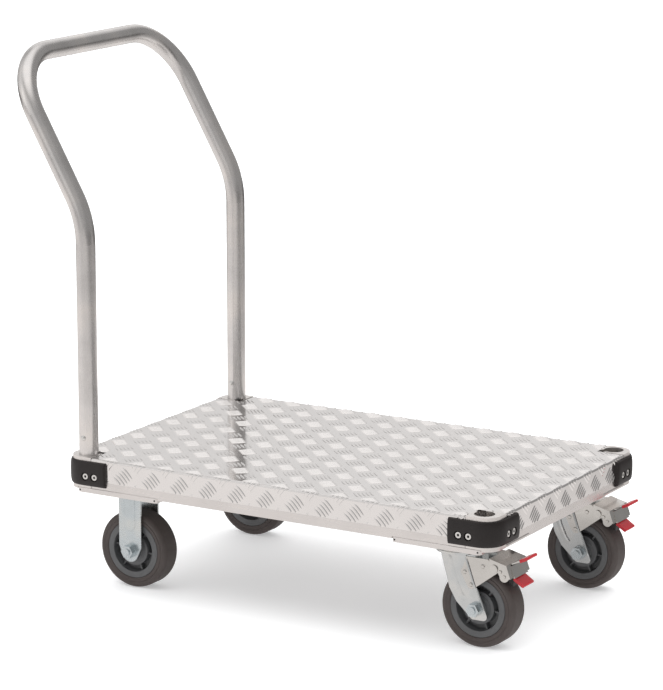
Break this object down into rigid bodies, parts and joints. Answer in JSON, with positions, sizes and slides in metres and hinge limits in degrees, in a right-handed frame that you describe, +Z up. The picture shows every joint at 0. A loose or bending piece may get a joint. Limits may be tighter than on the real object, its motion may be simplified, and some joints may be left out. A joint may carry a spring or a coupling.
{
  "type": "flatbed platform truck",
  "caption": "Low platform truck with a folded tread-plate deck, lift-out raked loop handle, cast socket corners with rubber bumpers, rigid and braked swivel casters",
  "frame": {"origin": "centre of the overall box at floor level, under the wheels", "axes": "+Z up, +X towards the braked swivel casters, -X towards the handle, +Y to the left when pushing"},
  "size_m": [0.925, 0.504, 0.8591],
  "materials": {
    "tread_plate": "bright rolled aluminium with raised five-bar tread",
    "sheet_aluminium": "plain mill-finish aluminium",
    "cast_aluminium": "fine-grained cast aluminium",
    "handle_aluminium": "satin drawn aluminium tube",
    "bumper_rubber": "matt black moulded rubber",
    "black_plastic": "matt black moulded plastic",
    "grey_tyre": "matt brown-grey elastic rubber, non-marking",
    "rim_plastic": "matt dark grey moulded polypropylene",
    "zinc_steel": "zinc plated pressed steel with a pale blue passivation",
    "bright_steel": "bright zinc plated fasteners",
    "red_plastic": "red moulded plastic, soft gloss"
  },
  "bodies": {
    "chassis": {"deck_plate": "tread_plate", "side_rail_left": "sheet_aluminium", "side_rail_right": "sheet_aluminium", "end_rail_front": "sheet_aluminium", "end_rail_rear": "sheet_aluminium", "cross_member_front": "sheet_aluminium", "cross_member_rear": "sheet_aluminium", "deck_stiffeners": "sheet_aluminium", "corner_casting_front_left": "cast_aluminium", "corner_casting_front_right": "cast_aluminium", "corner_casting_rear_left": "cast_aluminium", "corner_casting_rear_right": "cast_aluminium", "bumper_front_left": "bumper_rubber", "bumper_front_right": "bumper_rubber", "bumper_rear_left": "bumper_rubber", "bumper_rear_right": "bumper_rubber", "bumper_screws": "bright_steel", "mounting_pad_front_left": "sheet_aluminium", "mounting_pad_front_right": "sheet_aluminium", "mounting_pad_rear_left": "sheet_aluminium", "mounting_pad_rear_right": "sheet_aluminium", "caster_bolts": "zinc_steel", "rigid_fork_left": "zinc_steel", "rigid_fork_right": "zinc_steel", "rigid_axle_bolts": "zinc_steel", "rigid_axle_tubes": "bright_steel", "swivel_plate_left": "zinc_steel", "swivel_plate_right": "zinc_steel", "swivel_balls": "bright_steel", "swivel_kingpins": "bright_steel"},
    "handle": {"handle_tube": "handle_aluminium", "handle_buttons": "bright_steel", "handle_end_plugs": "black_plastic"},
    "swivel_left": {"swivel_fork_left": "zinc_steel", "swivel_axle_left": "zinc_steel", "brake_bracket_left": "zinc_steel"},
    "brake_left": {"brake_rocker_left": "zinc_steel", "brake_shoe_left": "bumper_rubber", "brake_pedals_left": "red_plastic"},
    "wheel_rear_left": {"wheel_core_rear_left": "rim_plastic", "tyre_rear_left": "grey_tyre", "wheel_bearing_rear_left": "bright_steel"},
    "wheel_front_left": {"wheel_core_front_left": "rim_plastic", "tyre_front_left": "grey_tyre", "wheel_bearing_front_left": "bright_steel"},
    "swivel_right": {"swivel_fork_right": "zinc_steel", "swivel_axle_right": "zinc_steel", "brake_bracket_right": "zinc_steel"},
    "brake_right": {"brake_rocker_right": "zinc_steel", "brake_shoe_right": "bumper_rubber", "brake_pedals_right": "red_plastic"},
    "wheel_rear_right": {"wheel_core_rear_right": "rim_plastic", "tyre_rear_right": "grey_tyre", "wheel_bearing_rear_right": "bright_steel"},
    "wheel_front_right": {"wheel_core_front_right": "rim_plastic", "tyre_front_right": "grey_tyre", "wheel_bearing_front_right": "bright_steel"}
  },
  "joints": [
    {"name": "caster_swivel_left", "type": "hinge", "parent": "chassis", "child": "swivel_left", "pos_m": [0.34066, 0.177, 0.149], "axis": [0, 0, 1], "continuous": true},
    {"name": "wheel_front_left_spin", "type": "hinge", "parent": "swivel_left", "child": "wheel_front_left", "pos_m": [0.38066, 0.177, 0.0625], "axis": [0, 1, 0], "continuous": true},
    {"name": "wheel_rear_left_spin", "type": "hinge", "parent": "chassis", "child": "wheel_rear_left", "pos_m": [-0.24234, 0.177, 0.0625], "axis": [0, 1, 0], "continuous": true},
    {"name": "brake_rocker_left_pivot", "type": "hinge", "parent": "swivel_left", "child": "brake_left", "pos_m": [0.41466, 0.177, 0.132], "axis": [0, 1, 0], "range_deg": [0, 8.5]},
    {"name": "caster_swivel_right", "type": "hinge", "parent": "chassis", "child": "swivel_right", "pos_m": [0.34066, -0.177, 0.149], "axis": [0, 0, 1], "continuous": true},
    {"name": "wheel_front_right_spin", "type": "hinge", "parent": "swivel_right", "child": "wheel_front_right", "pos_m": [0.38066, -0.177, 0.0625], "axis": [0, 1, 0], "continuous": true},
    {"name": "wheel_rear_right_spin", "type": "hinge", "parent": "chassis", "child": "wheel_rear_right", "pos_m": [-0.24234, -0.177, 0.0625], "axis": [0, 1, 0], "continuous": true},
    {"name": "brake_rocker_right_pivot", "type": "hinge", "parent": "swivel_right", "child": "brake_right", "pos_m": [0.41466, -0.177, 0.132], "axis": [0, 1, 0], "range_deg": [0, 8.5]},
    {"name": "handle_lift_out", "type": "slide", "parent": "chassis", "child": "handle", "axis": [0, 0, 1], "range_m": [0, 0.055]}
  ]
}
